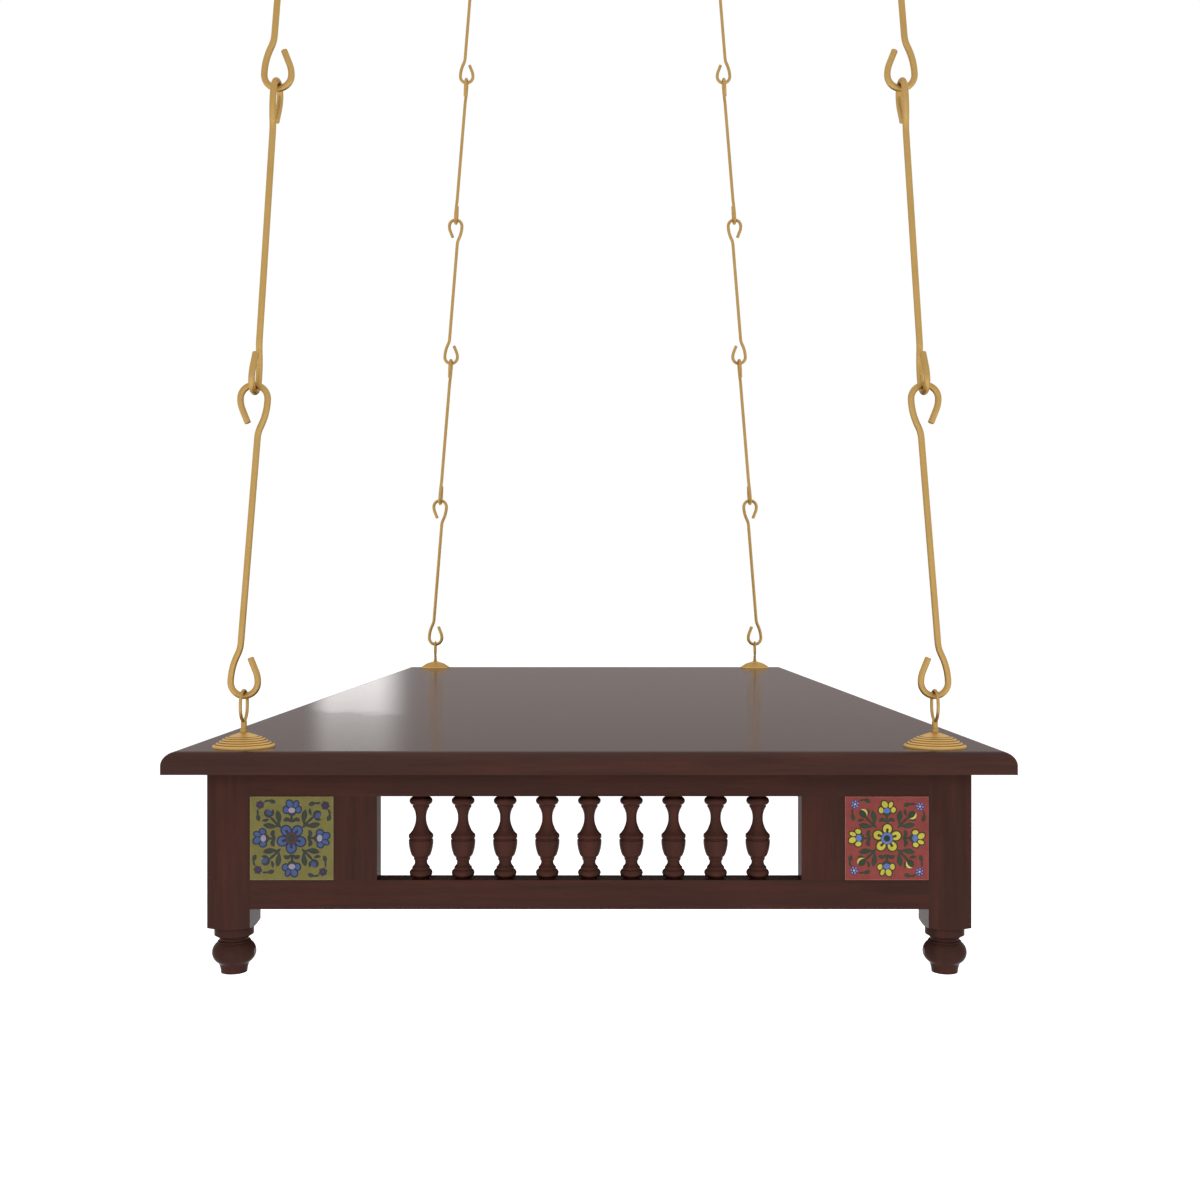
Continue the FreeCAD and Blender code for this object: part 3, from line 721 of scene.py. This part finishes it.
# Cards that the plank mirrors. Distances are from the camera, and heights from the plank's top.
# The curtain's line is in (across, up) points.
WALL_DISTANCE = 6.1
WALL_HALF = 4.0
WALL_FOOT = -1.7
WALL_LINE = -0.3
WALL_TOP = 2.0
WALL_GLOW = 0.335
LOW_WALL_GLOW = 0.45
WALL_COLOUR = (1.0, 0.92, 0.90, 1.0)
WINDOW_DISTANCE = 6.0
WINDOW_SILL = 0.08
WINDOW_TOP = 0.62
WINDOW_GLOW = 1.62
CURTAIN_GLOW = 0.64
WINDOW_COLOUR = (1.0, 0.97, 0.96, 1.0)
WINDOW_FADES = (0.12, 0.18)
CURTAIN = [
    (-1.33, 0.354), (-1.27, 0.360), (-1.20, 0.371), (-1.12, 0.367),
    (-1.05, 0.376), (-0.98, 0.377), (-0.90, 0.380), (-0.84, 0.382),
]

# Square lamps: place, side and power in watts
LAMPS = {
    "key": ((-2.2, -4.6, 0.9), 2.6, 75),
    "fill": ((2.6, -4.4, 0.5), 2.6, 60),
    "back": ((0.0, 4.6, 1.4), 2.6, 60),
    "top": ((0.0, 0.0, 4.2), 3.0, 70),
}


def seen_directly(tree):
    """1 for camera, glossy and transmission rays, 0 for the rest."""
    path = tree.nodes.new("ShaderNodeLightPath")
    seen = path.outputs["Is Camera Ray"]
    for name in ("Is Glossy Ray", "Is Transmission Ray"):
        larger = tree.nodes.new("ShaderNodeMath")
        larger.operation = "MAXIMUM"
        tree.links.new(seen, larger.inputs[0])
        tree.links.new(path.outputs[name], larger.inputs[1])
        seen = larger.outputs["Value"]
    return seen


def shown_white(name, colour, lift):
    """A matt material that shows as white where it is lit, and still takes a shadow."""
    m = Nodes(name, Roughness=0.9, Specular_IOR_Level=0.1)
    m.shader.inputs["Base Color"].default_value = colour
    m.shader.inputs["Emission Color"].default_value = WHITE
    strength = m.math("MULTIPLY", seen_directly(m.tree), lift)
    m.link(strength, m.shader.inputs["Emission Strength"])
    return m.material


def make_floor():
    """A pale floor below the seat."""
    mesh = bpy.data.meshes.new("floor")
    z = cad_box[0][2] - FLOOR_DROP
    half = FLOOR_HALF
    mesh.from_pydata(
        [(-half, -half, z), (half, -half, z), (half, half, z), (-half, half, z)],
        [], [(0, 1, 2, 3)],
    )
    floor = bpy.data.objects.new("floor", mesh)
    bpy.context.collection.objects.link(floor)
    mesh.materials.append(shown_white("pale_floor", srgb(236, 236, 236), FLOOR_LIFT))


def faded_glow(m, strength, left, right, fades):
    """A card's glow, faded to the wall's over a width at its left and one at its right."""
    across = m.add("ShaderNodeSeparateXYZ")
    m.link(m.place(), across.inputs["Vector"])
    shares = []
    for outer, inner in ((left, left + fades[0]), (right, right - fades[1])):
        fade = m.add("ShaderNodeMapRange", interpolation_type="SMOOTHSTEP")
        fade.inputs["From Min"].default_value = outer
        fade.inputs["From Max"].default_value = inner
        m.link(across.outputs["X"], fade.inputs["Value"])
        shares.append(fade.outputs["Result"])
    share = m.math("MINIMUM", *shares)
    return m.math("MULTIPLY_ADD", share, strength - WALL_GLOW, WALL_GLOW)


def make_card(name, distance, lower, upper, strength, colour, fades=None):
    """A glowing card across the far end, seen only as a reflection. It lies between a lower
    and an upper line of (across, up) points, in metres from the camera's axis and the
    plank's top."""
    y = PLANK_LOW.y - CAMERA_BACK + distance
    x, z = CAMERA_SIDE, PLANK_HIGH.z
    mesh = bpy.data.meshes.new(name)
    steps = len(lower)
    mesh.from_pydata(
        [(x + across, y, z + up) for across, up in lower + upper],
        [], [(i, i + 1, steps + i + 1, steps + i) for i in range(steps - 1)],
    )
    card = bpy.data.objects.new(name, mesh)
    bpy.context.collection.objects.link(card)
    m = Nodes(name, Roughness=1.0, Specular_IOR_Level=0.0)
    m.shader.inputs["Base Color"].default_value = BLACK
    m.shader.inputs["Emission Color"].default_value = colour
    m.shader.inputs["Emission Strength"].default_value = strength
    if fades:
        glow = faded_glow(m, strength, x + lower[0][0], x + lower[-1][0], fades)
        m.link(glow, m.shader.inputs["Emission Strength"])
    mesh.materials.append(m.material)
    card.visible_camera = False
    card.visible_diffuse = False
    card.visible_transmission = False
    card.visible_shadow = False


def level(height, line):
    """A level line of points below or above another."""
    return [(across, height) for across, up in line]


def make_cards():
    """What the lacquered plank mirrors: a grey wall, and a window to the left of it, bright
    up to the uneven line of its curtain."""
    line = [(-WALL_HALF, WALL_LINE), (WALL_HALF, WALL_LINE)]
    make_card("grey_wall", WALL_DISTANCE, line, level(WALL_TOP, line), WALL_GLOW, WALL_COLOUR)
    make_card("low_wall", WALL_DISTANCE, level(WALL_FOOT, line), line, LOW_WALL_GLOW,
              WALL_COLOUR)
    make_card("window_low", WINDOW_DISTANCE, level(WINDOW_SILL, CURTAIN), CURTAIN,
              WINDOW_GLOW, WINDOW_COLOUR, WINDOW_FADES)
    make_card("window_high", WINDOW_DISTANCE, CURTAIN, level(WINDOW_TOP, CURTAIN),
              CURTAIN_GLOW, WINDOW_COLOUR, WINDOW_FADES)


def make_world():
    """White where the camera or a reflection looks, softer as a light."""
    world = bpy.data.worlds.new("studio")
    bpy.context.scene.world = world
    world.use_nodes = True
    tree = world.node_tree
    back = tree.nodes["Background"]
    strength = tree.nodes.new("ShaderNodeMapRange")
    strength.inputs["To Min"].default_value = WORLD_LIGHT
    strength.inputs["To Max"].default_value = 1.0
    tree.links.new(seen_directly(tree), strength.inputs["Value"])
    tree.links.new(strength.outputs["Result"], back.inputs["Strength"])
    back.inputs["Color"].default_value = WHITE


def make_lamp(name, spot, target, size, watts):
    """A square soft lamp, aimed at a point."""
    data = bpy.data.lights.new(name, "AREA")
    data.size = size
    data.energy = watts
    lamp = bpy.data.objects.new(name, data)
    lamp.location = spot
    lamp.rotation_euler = (Vector(target) - Vector(spot)).to_track_quat("-Z", "Y").to_euler()
    lamp.visible_glossy = False
    bpy.context.collection.objects.link(lamp)


def make_lights():
    """Soft lamps round the seat, all aimed at the middle of its top."""
    for name, (spot, size, watts) in LAMPS.items():
        make_lamp(name, spot, (0, 0, PLANK_HIGH.z), size, watts)


def make_camera():
    """The photograph's view."""
    data = bpy.data.cameras.new("camera")
    data.lens = LENS
    data.sensor_width = SENSOR
    camera = bpy.data.objects.new("camera", data)
    camera.location = (CAMERA_SIDE, PLANK_LOW.y - CAMERA_BACK, PLANK_HIGH.z + CAMERA_RISE)
    camera.rotation_euler = (math.radians(90), 0, 0)
    bpy.context.collection.objects.link(camera)
    bpy.context.scene.camera = camera


def main():
    bpy.context.scene.view_settings.view_transform = "Standard"
    make_world()
    make_floor()
    make_cards()
    make_lights()
    make_camera()
    dress_nodes()
    for node in NODES:
        if SLOTS[node].startswith("tile_"):
            paint_tile(node)
    make_rosettes("seat_rosettes", "seat", True)
    make_rosettes("ceiling_rosettes", "ceiling_fittings", False)
    wind_ceiling_threads()


main()
